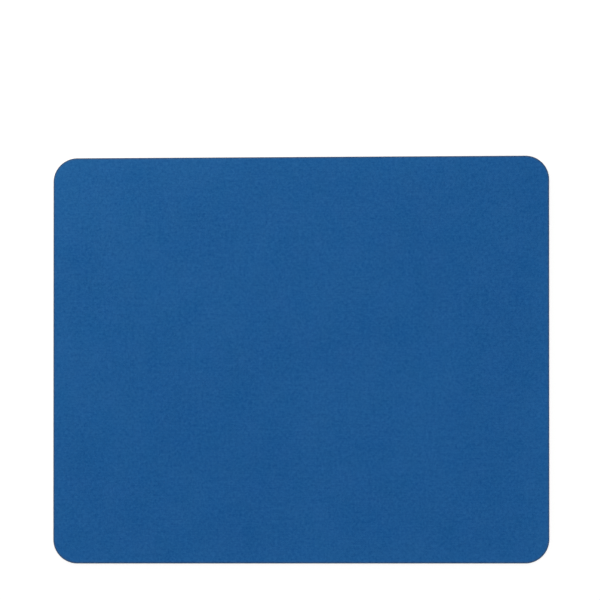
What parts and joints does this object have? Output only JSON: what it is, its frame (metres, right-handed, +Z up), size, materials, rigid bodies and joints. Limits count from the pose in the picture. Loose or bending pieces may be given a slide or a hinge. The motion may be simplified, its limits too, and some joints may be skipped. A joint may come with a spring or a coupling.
{
  "type": "mouse pad",
  "caption": "Flat rounded-rectangle mouse pad: a knitted cloth face bonded by an adhesive film to a sponge rubber base that grips the desk.",
  "frame": {"origin": "middle of the underside, on the desk", "axes": "+X along the width to the user's right, +Y along the depth away from the user, +Z up out of the cloth face"},
  "size_m": [0.223, 0.1834, 0.006],
  "materials": {
    "sponge_rubber": "matte",
    "hot_melt_film": "satin",
    "polyester_jersey": "matte"
  },
  "bodies": {
    "root": {"sponge_base": "sponge_rubber", "adhesive_film": "hot_melt_film", "cloth_face": "polyester_jersey"}
  },
  "joints": []
}
